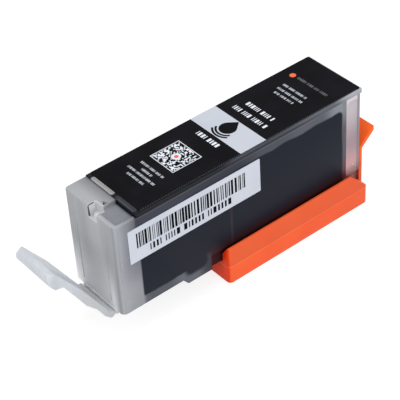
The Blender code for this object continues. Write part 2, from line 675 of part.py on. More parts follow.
def shipping_cap(look):
    """The tray, its thick side walls that open out at the top, the ribs under the tank and the seal cup."""
    cap = block("shipping_cap", (-CAP_REAR, -CAP_HALF, 0), (CAP_REAR, CAP_HALF, CAP_HEIGHT), parts,
                corner=CAP_CORNER)
    seat = FOOT - CLEAR
    cut(cap, block("tray_space", (CAP_END - CAP_REAR, -FOOT_HALF, CAP_FLOOR),
                   (CAP_REAR - PLATE, FOOT_HALF, seat)))
    for i, x in enumerate(CAP_RIB_PLACES):
        join(cap, block(f"cap_rib_{i}", (x - CAP_RIB / 2, -FOOT_HALF - CAP_RIB, CAP_FLOOR / 2),
                        (x + CAP_RIB / 2, FOOT_HALF + CAP_RIB, seat)))
    spread = LEAD_IN / (CAP_HEIGHT - LEAD_IN_START)
    high = CAP_HEIGHT + PAST
    wide = FOOT_HALF + spread * (high - LEAD_IN_START)
    mouth = [(-FOOT_HALF, seat), (FOOT_HALF, seat), (FOOT_HALF, LEAD_IN_START), (wide, high), (-wide, high),
             (-FOOT_HALF, LEAD_IN_START)]
    cut(cap, prism("cap_mouth", mouth, -CAP_REAR - PAST, CAP_REAR + PAST, along="X"))
    behind = CAP_REAR + PAST
    corner = [(CAP_REAR - CHAMFER - PAST, high), (behind, CAP_HEIGHT - CHAMFER - PAST), (behind, high)]
    cut(cap, prism("rear_chamfer", corner, -CAP_HALF - PAST, CAP_HALF + PAST))
    join(cap, prism("rear_plate", plate_outline(), PLATE_INSET - HALF, HALF - PLATE_INSET))
    cup = SEAL_RADIUS + CLEAR
    base = SEAL_LOW - CLEAR
    join(cap, drum("seal_cup", (OUTLET, 0), cup + CUP_WALL, CAP_FLOOR / 2, base + CUP_LIP))
    cut(cap, drum("seal_cup_inside", (OUTLET, 0), cup, base, base + CUP_LIP + PAST))
    return finish(cap, look)


def plate_outline():
    """The upright plate behind the tank, and the thumb tab that leans out from its top."""
    inner = CAP_REAR - PLATE
    lean = Vector((TAB_REACH, TAB_RISE)).normalized()
    tip = (CAP_REAR + TAB_REACH, PLATE_TOP + TAB_RISE)
    return [
        (inner, 0),
        (CAP_REAR, 0),
        (CAP_REAR, PLATE_TOP),
        tip,
        (tip[0], tip[1] + PLATE / lean.x),
        (inner, PLATE_TOP + PLATE * (1 - lean.y) / lean.x),
    ]


def seal_pad(look):
    pad = drum("outlet_seal_pad", (OUTLET, 0), SEAL_RADIUS, SEAL_LOW, SEAL_LOW + SEAL_THICKNESS, parts)
    return finish(pad, look)


def pivot(name, place, carrier=None):
    empty = bpy.data.objects.new(name, None)
    empty.empty_display_size = 5 * MM
    empty.location = place if carrier is None else place - carrier.location
    empty.parent = carrier
    parts.objects.link(empty)
    return empty


def carry(carrier, *pieces):
    for piece in pieces:
        piece.parent = carrier
        piece.matrix_parent_inverse = Matrix.Translation(carrier.location).inverted()


def build():
    frosted = material("frosted_plastic", (0.62, 0.64, 0.66), 0.45, alpha=0.55)
    clear = material("clear_plastic", (0.55, 0.57, 0.6), 0.2, alpha=0.5)
    milky = material("milky_plastic", (0.72, 0.75, 0.77), 0.4, alpha=0.8)
    orange = material("orange_plastic", (0.93, 0.14, 0.04), 0.35)
    black_film = material("label_film", (0.012, 0.011, 0.014), 0.35)
    paper = material("sticker_paper", (0.68, 0.72, 0.8), 0.6)
    soaked = material("soaked_foam", (0.02, 0.022, 0.028), 0.8)
    felt = material("soaked_felt", (0.015, 0.016, 0.02), 0.9)
    ink = material("ink", (0.008, 0.009, 0.013), 0.15)
    board_green = material("board_laminate", (0.02, 0.12, 0.06), 0.5)
    rubber = material("seal_rubber", (0.25, 0.25, 0.26), 0.7)
    ball_plastic = material("ball_plastic", (0.5, 0.52, 0.54), 0.3)

    lift = pivot("tank_lift", Vector((0, 0, FOOT)))
    hinge = pivot("lever_hinge", HINGE, lift)
    cover = lid(clear)
    body = tank_body(frosted)
    carry(lift, body, cover, fill_ball(ball_plastic), top_label(black_film), side_sticker(paper))
    carry(lift, free_ink(ink), *absorbers(soaked, felt), outlet_wick(felt), contact_board(board_green))
    latch_lever(milky, hinge)
    shipping_cap(orange)
    seal_pad(rubber)


build()
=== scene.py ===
"""Looks of an inkjet ink cartridge on its shipping cap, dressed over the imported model.

Places are in millimetres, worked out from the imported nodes, and MM turns them into the frame's
metres. X runs along the cartridge from the latch to the rear, Y across it from the near side to
the far one, and Z up. A colour is three numbers from 0 to 255, as a screen shows it.
"""
import math
import random

import bmesh
import bpy
from mathutils import Matrix, Vector


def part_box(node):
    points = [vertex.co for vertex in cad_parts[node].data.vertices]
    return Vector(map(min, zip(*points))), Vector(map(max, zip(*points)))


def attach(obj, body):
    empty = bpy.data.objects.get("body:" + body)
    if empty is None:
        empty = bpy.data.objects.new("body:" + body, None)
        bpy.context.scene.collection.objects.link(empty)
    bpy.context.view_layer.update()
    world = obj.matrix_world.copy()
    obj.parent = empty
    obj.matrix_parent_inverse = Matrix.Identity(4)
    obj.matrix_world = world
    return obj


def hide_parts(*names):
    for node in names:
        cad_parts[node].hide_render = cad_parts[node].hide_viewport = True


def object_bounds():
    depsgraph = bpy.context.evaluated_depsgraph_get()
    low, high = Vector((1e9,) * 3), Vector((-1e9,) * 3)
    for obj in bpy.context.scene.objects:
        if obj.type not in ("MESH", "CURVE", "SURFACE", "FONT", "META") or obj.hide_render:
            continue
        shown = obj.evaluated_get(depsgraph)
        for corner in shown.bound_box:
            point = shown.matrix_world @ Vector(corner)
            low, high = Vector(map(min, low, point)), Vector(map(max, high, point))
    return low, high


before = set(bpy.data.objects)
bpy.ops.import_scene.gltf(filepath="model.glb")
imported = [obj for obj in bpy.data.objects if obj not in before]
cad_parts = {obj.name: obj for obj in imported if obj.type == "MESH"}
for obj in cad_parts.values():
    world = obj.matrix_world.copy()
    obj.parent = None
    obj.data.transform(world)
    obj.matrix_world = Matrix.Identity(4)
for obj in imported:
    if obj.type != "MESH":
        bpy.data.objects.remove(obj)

MM = 0.001
CAD_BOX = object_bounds()


def node_box(node):
    """A node's lowest and highest corners, in millimetres."""
    low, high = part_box(node)
    return Vector(low) / MM, Vector(high) / MM


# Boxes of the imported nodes
TANK_LOW, TANK_HIGH = node_box("tank_body")
LID_LOW, LID_HIGH = node_box("tank_lid")
INK_LOW, INK_HIGH = node_box("free_ink")
FOAM_HIGH = node_box("upper_foam")[1]
LABEL_LOW, LABEL_HIGH = node_box("top_label")
STICKER_LOW = node_box("side_sticker")[0]
BOARD_LOW, BOARD_HIGH = node_box("contact_board")
CAP_LOW = node_box("shipping_cap")[0]

# Places along the cartridge
FRONT = TANK_LOW.x + 0.15  # the front face, behind the edge of the hinge's land
RECESS = CAP_LOW.x - 3.95  # the tank's foot is narrower from here
AIR_FRONT = FOAM_HIGH.x + 1.9  # the rear chamber's front wall
AIR_REAR = TANK_HIGH.x - 0.9

# Windows over the whole length or width run past the part by this much
PAST = 8.0
WHOLE_LENGTH, WHOLE_WIDTH = [(low / MM - PAST, high / MM + PAST) for low, high in zip(*CAD_BOX)][:2]

# Heights
FLOOR = INK_LOW.z  # the lowest ink in the well
LEVEL = INK_HIGH.z + 1.1  # the top of the dark that the ink and foam show through the wall
SEAM = LID_HIGH.z - 1.55
HEAD_TOP = TANK_HIGH.z
MOULD_LINE = 5.5  # round the cap
WALL_TOP = 12.0  # of the cap's side walls

# Small features
GROOVES = (-5.2, 6.3)  # Y of the front face's upright grooves
BAND = (32.05, 40.4)  # the label's pale band, from its front edge
PAD_PITCH = (2.1, 3.4)  # of the contacts, across and up
PAD_SIZE = (0.04, 1.22, 2.22)
PAD_EASE = 0.015

# How far print stands off the surface that carries it, from the lowest layer to the highest
BAND_LIFT, PRINT_LIFT, OVER_LIFT, TOP_LIFT = 0.008, 0.012, 0.02, 0.028

# Eased edges
SAME_POINT = 0.002  # points closer than this are one
FLAT = math.radians(0.6)  # faces that lean apart by less are one
EASED_FROM = math.radians(28)  # edges sharper than this are rounded
SHARP = math.radians(35)  # edges sharper than this stay crisp in the shading


def screen_colour(red, green, blue):
    """A screen's colour as Blender's linear one."""
    def linear(part):
        part /= 255
        return part / 12.92 if part < 0.04045 else ((part + 0.055) / 1.055) ** 2.4
    return linear(red), linear(green), linear(blue), 1.0


def add_node(tree, kind, sockets=None, **settings):
    """One node, with each named socket given a value or linked to another node's output."""
    node = tree.nodes.new(kind)
    for name, value in settings.items():
        setattr(node, name, value)
    for name, value in (sockets or {}).items():
        if isinstance(value, bpy.types.NodeSocket):
            tree.links.new(value, node.inputs[name])
        else:
            node.inputs[name].default_value = value
    return node


def calculate(tree, operation, first, second):
    """The result of one sum on two numbers."""
    return add_node(tree, "ShaderNodeMath", {0: first, 1: second}, operation=operation).outputs[0]


def vector_sum(tree, operation, first, second):
    """The result of one sum on two vectors."""
    sockets = {0: first, 1: second}
    return add_node(tree, "ShaderNodeVectorMath", sockets, operation=operation).outputs[0]


def ramp(tree, value, start, end, low=0.0, high=1.0):
    """low where the value is short of start, high where it is past end, with a soft change between."""
    sockets = {"Value": value, "From Min": start, "From Max": end, "To Min": low, "To Max": high}
    return add_node(tree, "ShaderNodeMapRange", sockets, interpolation_type="SMOOTHSTEP").outputs[0]


def blend_numbers(tree, mask, first, second):
    """The first number where the mask is 0, and the second where it is 1."""
    return add_node(tree, "ShaderNodeMix", {0: mask, 2: first, 3: second}, data_type="FLOAT").outputs[0]


def blend_colours(tree, mask, first, second):
    """The first colour where the mask is 0, and the second where it is 1.

    Each is another node's colour or a screen's three numbers.
    """
    tones = [tone if isinstance(tone, bpy.types.NodeSocket) else screen_colour(*tone)
             for tone in (first, second)]
    node = add_node(tree, "ShaderNodeMix", {0: mask, 6: tones[0], 7: tones[1]}, data_type="RGBA")
    return node.outputs[2]


def both(tree, first, second):
    """The mask that is 1 where both masks are."""
    return calculate(tree, "MULTIPLY", first, second)


def tinge(tree, mask, share, tone, towards):
    """The tone moved by a share towards another where the mask is 1."""
    return blend_colours(tree, calculate(tree, "MULTIPLY", mask, share), tone, towards)


def fade(tree, tone, value, base, *steps):
    """A tone that changes with a value: each step starts and ends so far past base, at its own tone."""
    for start, end, towards in steps:
        tone = blend_colours(tree, ramp(tree, value, base + start, base + end), tone, towards)
    return tone


def new_group(name, inputs, outputs):
    """An empty node group, with its input and output sockets as dictionaries by name."""
    group = bpy.data.node_groups.new(name, "ShaderNodeTree")
    for label, kind, start in inputs:
        socket = group.interface.new_socket(label, in_out="INPUT", socket_type="NodeSocket" + kind)
        socket.default_value = start
    for label, kind in outputs:
        group.interface.new_socket(label, in_out="OUTPUT", socket_type="NodeSocket" + kind)
    return group, add_node(group, "NodeGroupInput").outputs, add_node(group, "NodeGroupOutput").inputs


def place_group(tree, group, **sockets):
    """A node group in a material; an underscore in a socket's name stands for a space."""
    named = {name.replace("_", " "): value for name, value in sockets.items()}
    return add_node(tree, "ShaderNodeGroup", named, node_tree=group).outputs


def make_place_group():
    """Where a point lies on the part at rest, in millimetres, and its three distances apart."""
    outputs = [("Place", "Vector"), ("Along", "Float"), ("Across", "Float"), ("Up", "Float")]
    group, _, out = new_group("place in millimetres", [], outputs)
    inside = add_node(group, "ShaderNodeTexCoord").outputs["Object"]
    place = vector_sum(group, "MULTIPLY", inside, (1 / MM, 1 / MM, 1 / MM))
    parts = add_node(group, "ShaderNodeSeparateXYZ", {0: place}).outputs
    group.links.new(place, out["Place"])
    for name, part in zip(("Along", "Across", "Up"), parts):
        group.links.new(part, out[name])
    return group


def make_grain_group():
    """The fine skin of a moulded or printed surface: its height and a slow drift of its tone."""
    inputs = [("Place", "Vector", (0, 0, 0)), ("Grain Size", "Float", 0.3), ("Drift Size", "Float", 12.0)]
    group, given, out = new_group("surface grain", inputs, [("Height", "Float"), ("Tone", "Float")])
    for name, size, detail in (("Height", "Grain Size", 3.0), ("Tone", "Drift Size", 2.0)):
        scale = calculate(group, "DIVIDE", 1.0, given[size])
        sockets = {"Vector": given["Place"], "Scale": scale, "Detail": detail}
        group.links.new(add_node(group, "ShaderNodeTexNoise", sockets).outputs[0], out[name])
    return group


def make_window_group():
    """A box with rounded corners and a soft edge: 1 inside it and 0 outside."""
    inputs = [("Place", "Vector", (0, 0, 0)), ("Middle", "Vector", (0, 0, 0)),
              ("Half Size", "Vector", (1, 1, 1)), ("Corner", "Float", 1.0), ("Softness", "Float", 0.5)]
    group, given, out = new_group("soft window", inputs, [("Mask", "Float")])
    from_middle = vector_sum(group, "SUBTRACT", given["Place"], given["Middle"])
    distance = add_node(group, "ShaderNodeVectorMath", {0: from_middle}, operation="ABSOLUTE").outputs[0]
    corner = add_node(group, "ShaderNodeCombineXYZ", {i: given["Corner"] for i in range(3)}).outputs[0]
    straight = vector_sum(group, "SUBTRACT", given["Half Size"], corner)
    past = vector_sum(group, "MAXIMUM", vector_sum(group, "SUBTRACT", distance, straight), (0, 0, 0))
    length = add_node(group, "ShaderNodeVectorMath", {0: past}, operation="LENGTH").outputs["Value"]
    beyond = calculate(group, "SUBTRACT", length, given["Corner"])
    spread = calculate(group, "DIVIDE", beyond, given["Softness"])
    group.links.new(ramp(group, spread, -1.0, 1.0, 1.0, 0.0), out["Mask"])
    return group


def make_flow_group():
    """The upright streaks that plastic leaves as it fills a mould, seen through its skin."""
    inputs = [("Place", "Vector", (0, 0, 0)), ("Spacing", "Float", 3.0)]
    group, given, out = new_group("mould flow", inputs, [("Streak", "Float")])
    stretched = vector_sum(group, "MULTIPLY", given["Place"], (1.0, 1.0, 0.04))
    scale = calculate(group, "DIVIDE", 1.0, given["Spacing"])
    sockets = {"Vector": stretched, "Scale": scale, "Detail": 2.0, "Roughness": 0.6}
    streak = add_node(group, "ShaderNodeTexNoise", sockets).outputs[0]
    group.links.new(ramp(group, streak, 0.3, 0.7), out["Streak"])
    return group


PLACE = make_place_group()
GRAIN = make_grain_group()
WINDOW = make_window_group()
FLOW = make_flow_group()


def new_finish(name, **settings):
    """A material with its Principled shader; settings go onto the shader's own sockets."""
    finish = bpy.data.materials.new(name)
    finish.use_nodes = True
    tree = finish.node_tree
    tree.nodes.clear()
    named = {label.replace("_", " "): value for label, value in settings.items()}
    shader = add_node(tree, "ShaderNodeBsdfPrincipled", named)
    add_node(tree, "ShaderNodeOutputMaterial", {"Surface": shader.outputs[0]})
    return finish, tree, shader, place_group(tree, PLACE)


def grain_over(tree, place, grain_size=0.3, drift_size=12.0):
    """The surface's grain and drift, at their sizes in millimetres."""
    return place_group(tree, GRAIN, Place=place["Place"], Grain_Size=grain_size, Drift_Size=drift_size)


def streaks_over(tree, place, spacing):
    """The mask of upright mould streaks."""
    return place_group(tree, FLOW, Place=place["Place"], Spacing=spacing)["Streak"]


def window_over(tree, place, x, z, corner, softness, y=WHOLE_WIDTH):
    """The mask of one soft window between two limits along, up and across."""
    low, high = Vector((x[0], y[0], z[0])), Vector((x[1], y[1], z[1]))
    sockets = dict(Place=place["Place"], Middle=(low + high) / 2, Half_Size=(high - low) / 2)
    return place_group(tree, WINDOW, Corner=corner, Softness=softness, **sockets)["Mask"]


def head_window(tree, place, x, z, corner, softness, y):
    """A window placed from the head's front face and top."""
    along = [FRONT + value for value in x]
    up = [HEAD_TOP + value for value in z]
    return window_over(tree, place, along, up, corner, softness, y)


def waved_place(tree, place, size, reach):
    """Places shifted up or down by a slow wave, for edges that aren't quite straight."""
    drift = grain_over(tree, place, drift_size=size)["Tone"]
    shift = calculate(tree, "MULTIPLY", calculate(tree, "SUBTRACT", drift, 0.5), 2.0 * reach)
    moved = add_node(tree, "ShaderNodeCombineXYZ", {2: shift}).outputs[0]
    return {"Place": vector_sum(tree, "ADD", place["Place"], moved)}


def dress_surface(tree, shader, colour, grain, roughness, depth, height=None):
    """The colour, a roughness that follows the grain, and a bump, depth millimetres deep.

    The bump follows the grain too, unless another height is given.
    """
    sockets = {"Height": height or grain["Height"], "Strength": 1.0, "Distance": depth * MM}
    bump = add_node(tree, "ShaderNodeBump", sockets).outputs[0]
    tree.links.new(colour, shader.inputs["Base Color"])
    tree.links.new(blend_numbers(tree, grain["Height"], *roughness), shader.inputs["Roughness"])
    tree.links.new(bump, shader.inputs["Normal"])


def head_side(tree, place):
    """The head's sides: cloudy, paler low down and greyer by the bulkhead, with fine lines in front."""
    along, up = place["Along"], place["Up"]
    cloud = ramp(tree, grain_over(tree, place, 1.0, 7.0)["Tone"], 0.3, 0.7)
    tone = fade(tree, (136, 140, 146), along, FRONT, (0.75, 7.15, (88, 91, 98)))
    tone = tinge(tree, cloud, 0.3, tone, (140, 143, 149))
    in_front = ramp(tree, along, FRONT + 3.05, FRONT + 1.55)
    lines = both(tree, streaks_over(tree, place, 0.9), in_front)
    tone = tinge(tree, lines, 0.3, tone, (176, 179, 183))
    low_down = ramp(tree, up, HEAD_TOP - 14.2, HEAD_TOP - 24.2)
    return tinge(tree, low_down, 0.5, tone, (168, 171, 176))


def head_front(tree, place):
    """The front face: mould streaks, painted light behind the lever where its shadow falls, and painted shade
    at the near corner that damps its highlight.
    """
    along, across, up = place["Along"], place["Across"], place["Up"]
    tone = blend_colours(tree, streaks_over(tree, place, 5.0), (154, 156, 160), (170, 172, 175))
    low_down = ramp(tree, up, HEAD_TOP - 12.2, HEAD_TOP - 29.2)
    # Painted light: low down behind the lever, where its shadow falls, the face is lifted pale.
    light_behind_lever = both(tree, low_down, ramp(tree, across, -9.0, -6.0))
    tone = tinge(tree, light_behind_lever, 0.9, tone, (236, 238, 240))
    # Painted shade: the near corner is darkened where its rounded edge catches a highlight.
    at_face = ramp(tree, along, FRONT + 0.65, FRONT + 0.05)
    corner = both(tree, ramp(tree, across, -8.3, -9.2), at_face)
    return tinge(tree, corner, 0.8, tone, (128, 131, 136))


def platform_shade_and_highlight(tree, place, tone):
    """The near platform's pocket, greyer with painted shade and the dark seen through it, and its rim, pale
    with a painted highlight.
    """
    # Painted shade on the pocket's floor, together with the darkness that shows through it from beneath.
    floor = head_window(tree, place, (1.15, 6.65), (-1.9, -1.25), 0.3, 0.1, (-9.4, -2.9))
    tone = blend_colours(tree, floor, tone, (124, 127, 134))
    # Painted highlight: the rim's rounded edges are paler where they catch light.
    rim = head_window(tree, place, (-0.25, 6.35), (-1.6, -0.9), 0.2, 0.15, (-10.2, -2.5))
    rim = both(tree, rim, calculate(tree, "SUBTRACT", 1.0, floor))
    return tinge(tree, rim, 0.25, tone, (170, 172, 176))


def notch_light_and_shadow(tree, place, tone):
    """Painted light on the notch's walls, which makes them pale, and a painted shadow line along its far
    edge.
    """
    # Painted light: the notch's walls are lifted pale against the shade inside it.
    notch = head_window(tree, place, (-0.45, 2.7), (-3.8, 0.4), 0.5, 0.2, (-3.1, 0.6))
    tone = tinge(tree, notch, 0.55, tone, (212, 214, 216))
    # Painted shadow: a dark line down the face and along the top of the notch's far wall.
    down_the_face = head_window(tree, place, (-0.07, 0.35), (-3.3, 0.1), 0.05, 0.06, (-0.1, 0.42))
    along_the_top = head_window(tree, place, (-0.05, 1.95), (-0.35, 0.1), 0.05, 0.06, (0.2, 0.42))
    for edge in (down_the_face, along_the_top):
        tone = blend_colours(tree, edge, tone, (58, 60, 64))
    return tone


def pin_disc(tree, place, radius):
    """A disc low on the head's near side, where a pin of the mould pressed."""
    along, up = 2.15, -26.7
    x, z = (along - radius, along + radius), (up - radius, up + radius)
    return head_window(tree, place, x, z, radius, 0.1, (-10.5, -9.5))


def face_marks(tree, place, tone):
    """Light caught in the front grooves, and the ring that the mould's pin left."""
    for middle in GROOVES:
        sides = (middle - 0.25, middle + 0.25)
        groove = head_window(tree, place, (-0.15, 0.65), (-27.8, -8.9), 0.1, 0.1, sides)
        tone = tinge(tree, groove, 0.6, tone, (214, 216, 218))
    ring = calculate(tree, "SUBTRACT", pin_disc(tree, place, 0.8), pin_disc(tree, place, 0.6))
    return tinge(tree, ring, 0.3, tone, (196, 198, 201))


def head_tone(tree, place):
    """The whole milky head, with a fine speckle in its plastic."""
    along, up = place["Along"], place["Up"]
    past_face = ramp(tree, along, FRONT + 0.05, FRONT + 0.95)
    tone = blend_colours(tree, past_face, head_front(tree, place), head_side(tree, place))
    # Painted shade: the head's top darkens towards the lid's edge.
    top = fade(tree, (158, 160, 163), along, FRONT, (1.75, 6.55, (122, 124, 129)))
    tone = fade(tree, tone, up, HEAD_TOP, (-0.9, -0.3, top))
    for painted_light_and_marks in (platform_shade_and_highlight, notch_light_and_shadow, face_marks):
        tone = painted_light_and_marks(tree, place, tone)
    speckle = ramp(tree, grain_over(tree, place, 0.25)["Height"], 0.35, 0.65)
    return tinge(tree, speckle, 0.06, tone, (240, 240, 240))


def margin_tone(tree, place):
    """The wall round the dark: a pale band under the ink, and over it a weld that pales to the rear."""
    along, up = place["Along"], place["Up"]
    weld = fade(tree, (62, 65, 75), along, FRONT, (15.55, 35.55, (54, 57, 66)), (37.55, 49.55, (76, 79, 88)),
                (51.55, 61.55, (88, 91, 100)), (67.05, 73.05, (132, 135, 142)))
    low = fade(tree, (98, 101, 109), along, FRONT, (6.95, 9.55, (84, 87, 94)), (14.55, 19.05, (98, 101, 109)),
               (23.55, 27.05, (58, 61, 68)))
    tone = fade(tree, low, up, FLOOR, (11.1, 21.1, weld))
    seam = window_over(tree, place, WHOLE_LENGTH, (SEAM - 0.6, SEAM - 0.1), 0.1, 0.12)
    return tinge(tree, seam, 0.05, tone, (190, 192, 198))


def ink_shadow(tree, place):
    """1 where ink or soaked foam stands behind the wall, fading softly at its edges."""
    belly = window_over(tree, waved_place(tree, place, 3.0, 0.5), (INK_LOW.x - 1.1, RECESS - 5.1),
                        (FLOOR + 2.0, LEVEL), 0.6, 0.28)
    well = window_over(tree, place, (RECESS - 8.7, RECESS - 1.3), (FLOOR, LEVEL), 2.2, 0.8)
    bridge = window_over(tree, place, (RECESS - 7.1, RECESS + 13.9), (FLOOR + 3.5, LEVEL), 1.5, 1.2)
    foam = window_over(tree, waved_place(tree, place, 5.0, 0.7), (RECESS, FOAM_HIGH.x + 0.35),
                       (FLOOR - 2.9, LEVEL + 0.2), 1.7, 0.4)
    ink = calculate(tree, "MAXIMUM", belly, calculate(tree, "MAXIMUM", well, bridge))
    return calculate(tree, "MAXIMUM", ink, foam)


def ink_drops(tree, place, tone):
    """Three small drops that cling in the air chamber, each painted as a pale glint, with painted shade under
    it.
    """
    for along, up, radius in ((2.55, 5.0, 0.35), (1.65, 3.3, 0.2), (3.55, 4.0, 0.25)):
        x = (AIR_FRONT + along - radius, AIR_FRONT + along + radius)
        low, high = FLOOR + up - radius, FLOOR + up + radius
        drop = window_over(tree, place, x, (low, high), radius, 0.1)
        # Painted highlight: the drop's pale glint.
        tone = tinge(tree, drop, 0.7, tone, (244, 232, 234))
        shade = window_over(tree, place, x, (low - 0.35, low), 0.15, 0.12)
        tone = tinge(tree, shade, 0.5, tone, (120, 84, 88))
    return tone


def rear_tone(tree, place):
    """The rear chamber: a grey partition, then clear wall, reddened low down by the cap's orange plate, which
    shows through it and whose orange light is painted on it.
    """
    along, up = place["Along"], place["Up"]
    # Painted light: low down the chamber and the partition take the orange plate's light; the lowest tone is
    # kept pale against the shade under the overhang.
    chamber = fade(tree, (226, 150, 140), up, FLOOR, (0.6, 3.6, (226, 180, 182)),
                   (5.1, 13.1, (182, 162, 168)), (13.1, 24.1, (210, 202, 206)))
    partition = fade(tree, (96, 60, 62), up, FLOOR, (1.1, 13.1, (90, 88, 95)), (18.1, 26.1, (128, 130, 136)))
    tone = fade(tree, partition, along, AIR_FRONT, (-0.3, 0.1, chamber))
    tone = tinge(tree, ramp(tree, along, AIR_REAR - 0.45, AIR_REAR - 0.05), 0.75, tone, (122, 118, 128))
    return ink_drops(tree, place, tone)


def frosted_tank():
    """Milky walls: grey at the head, dark over ink and foam, clear and tinted at the rear, where the cap
    shows through and its light is painted, with painted shade low by the cap.
    """
    finish, tree, shader, place = new_finish("frosted tank wall", Specular_IOR_Level=0.06)
    along, up = place["Along"], place["Up"]
    grain = grain_over(tree, place, 0.25, 6.0)
    low_edge = ramp(tree, along, FRONT + 6.35, FRONT + 7.65)
    high_edge = ramp(tree, along, FRONT + 5.65, FRONT + 6.65)
    bulkhead = blend_numbers(tree, ramp(tree, up, FLOOR + 17.1, FLOOR + 24.1), low_edge, high_edge)
    colour = blend_colours(tree, bulkhead, head_tone(tree, place), margin_tone(tree, place))
    colour = fade(tree, colour, along, FOAM_HIGH.x, (0.25, 0.65, rear_tone(tree, place)))
    colour = blend_colours(tree, ink_shadow(tree, place), colour, (27, 31, 41))
    partition = (INK_HIGH.x + 0.25, INK_HIGH.x + 1.05)
    rib = window_over(tree, place, partition, (FLOOR + 0.1, FLOOR + 14.4), 0.3, 0.25)
    colour = tinge(tree, rib, 0.09, colour, (120, 100, 104))
    # Painted shade: low down by the cap the wall darkens to a reddish brown.
    low_down = ramp(tree, up, FLOOR + 6.1, FLOOR + 2.1)
    shade_by_cap = both(tree, low_down, ramp(tree, along, RECESS - 1.1, RECESS + 0.3))
    colour = tinge(tree, shade_by_cap, 0.5, colour, (66, 26, 20))
    dress_surface(tree, shader, colour, grain, (0.36, 0.5), 0.006)
    chamber = (AIR_FRONT - 0.05, AIR_REAR + 0.05)
    air = window_over(tree, place, chamber, (FLOOR + 0.1, FLOOR + 26.6), 1.2, 0.4)
    tree.links.new(blend_numbers(tree, air, 1.0, 0.73), shader.inputs["Alpha"])
    return finish


def clear_lid():
    """The clear lid: dark over the ink with its seam line, and pale where only air lies under it."""
    finish, tree, shader, place = new_finish("clear lid", Specular_IOR_Level=0.12)
    grain = grain_over(tree, place, 0.3, 5.0)
    along = place["Along"]
    upper = fade(tree, (18, 20, 27), along, FRONT, (31.55, 39.55, (66, 69, 77)),
                 (49.55, 67.55, (92, 96, 104)), (70.55, 77.55, (164, 167, 176)))
    lower = fade(tree, (12, 14, 20), along, FRONT, (31.55, 39.55, (38, 41, 48)),
                 (55.55, 69.55, (78, 82, 90)), (71.55, 78.55, (158, 161, 168)))
    colour = fade(tree, lower, place["Up"], LID_HIGH.z, (-0.8, -0.55, upper))
    over_ink = (WHOLE_LENGTH[0], FRONT + 33.55)
    line = window_over(tree, place, over_ink, (LID_HIGH.z - 0.65, LID_HIGH.z - 0.45), 0.05, 0.06)
    colour = tinge(tree, line, 0.05, colour, (170, 176, 190))
    x, z = (LID_LOW.x + 0.05, LID_LOW.x + 1.25), (LID_HIGH.z - 1.65, LID_HIGH.z + 1.35)
    near_vent, far_vent = ((-9.3, -1.65), (68, 72, 80)), ((-0.55, 8.25), (165, 165, 165))
    for sides, tone in (near_vent, far_vent):
        colour = blend_colours(tree, window_over(tree, place, x, z, 0.5, 0.06, sides), colour, tone)
    dress_surface(tree, shader, colour, grain, (0.24, 0.38), 0.012)
    tree.links.new(blend_numbers(tree, grain["Tone"], 0.96, 0.99), shader.inputs["Alpha"])
    return finish


def orange_cap():
    """Bright moulded plastic, with painted shade above the line where the mould's halves met and painted
    light and shade on its other faces.
    """
    finish, tree, shader, place = new_finish("orange cap plastic", Specular_IOR_Level=0.12)
    grain = grain_over(tree, place, 0.3, 14.0)
    up = place["Up"]
    # Painted shade: the wall above the mould line is darker.
    colour = fade(tree, (243, 98, 50), up, MOULD_LINE, (-0.2, 0.2, (225, 94, 53)))
    # Painted light: above the side walls the tab and plate are a brighter, deeper orange, as light bounced
    # between orange faces.
    colour = fade(tree, colour, up, WALL_TOP, (0.0, 3.0, (255, 106, 42)))
    # Painted shade: the front end face is a darker, deeper orange.
    colour = fade(tree, colour, place["Along"], CAP_LOW.x, (0.55, 0.25, (232, 54, 0)))
    # Painted highlight: a pale line along the mould line, over a small real bump.
    line = window_over(tree, place, WHOLE_LENGTH, (MOULD_LINE - 0.15, MOULD_LINE + 0.15), 0.1, 0.08)
    colour = tinge(tree, line, 0.35, colour, (255, 150, 108))
    colour = tinge(tree, ramp(tree, grain["Tone"], 0.35, 0.7), 0.3, colour, (226, 78, 32))
    height = calculate(tree, "ADD", calculate(tree, "MULTIPLY", grain["Height"], 0.4), line)
    dress_surface(tree, shader, colour, grain, (0.38, 0.52), 0.05, height)
    return finish


def milky_lever():
    """The latch's soft, pale plastic, a little greyer by the hinge and cooler at the grip."""
    soft = dict(Subsurface_Weight=0.2, Subsurface_Radius=(1.0, 1.0, 1.0), Subsurface_Scale=0.0015)
    finish, tree, shader, place = new_finish("milky lever plastic", Specular_IOR_Level=0.3, **soft)
    grain = grain_over(tree, place, 0.35, 5.0)
    colour = fade(tree, (182, 184, 187), place["Up"], TANK_LOW.z, (2.0, 7.0, (188, 190, 193)),
                  (11.0, 19.0, (196, 200, 207)))
    colour = tinge(tree, streaks_over(tree, place, 3.4), 0.4, colour, (176, 180, 185))
    dress_surface(tree, shader, colour, grain, (0.3, 0.45), 0.02)
    return finish


def gold_plating():
    """Worn gold on the board's contacts."""
    finish, tree, shader, place = new_finish("gold contact", Metallic=1.0)
    grain = grain_over(tree, place, 0.12, 1.5)
    colour = blend_colours(tree, grain["Tone"], (220, 176, 90), (236, 200, 120))
    dress_surface(tree, shader, colour, grain, (0.2, 0.36), 0.006)
    return finish


def grained_finish(name, colours, roughness, grain_size, depth, drift_size=12.0, **settings):
    """A plain material whose colour drifts between two tones, with a fine grain in its skin."""
    finish, tree, shader, place = new_finish(name, **settings)
    grain = grain_over(tree, place, grain_size, drift_size)
    colour = blend_colours(tree, ramp(tree, grain["Tone"], 0.3, 0.7), *colours)
    dress_surface(tree, shader, colour, grain, roughness, depth)
    return finish


def label_film():
    """Black film with a satin face."""
    return grained_finish("black label film", ((15, 15, 18), (22, 21, 26)), (0.36, 0.5), 0.22, 0.01, 9.0,
                          Specular_IOR_Level=0.02)


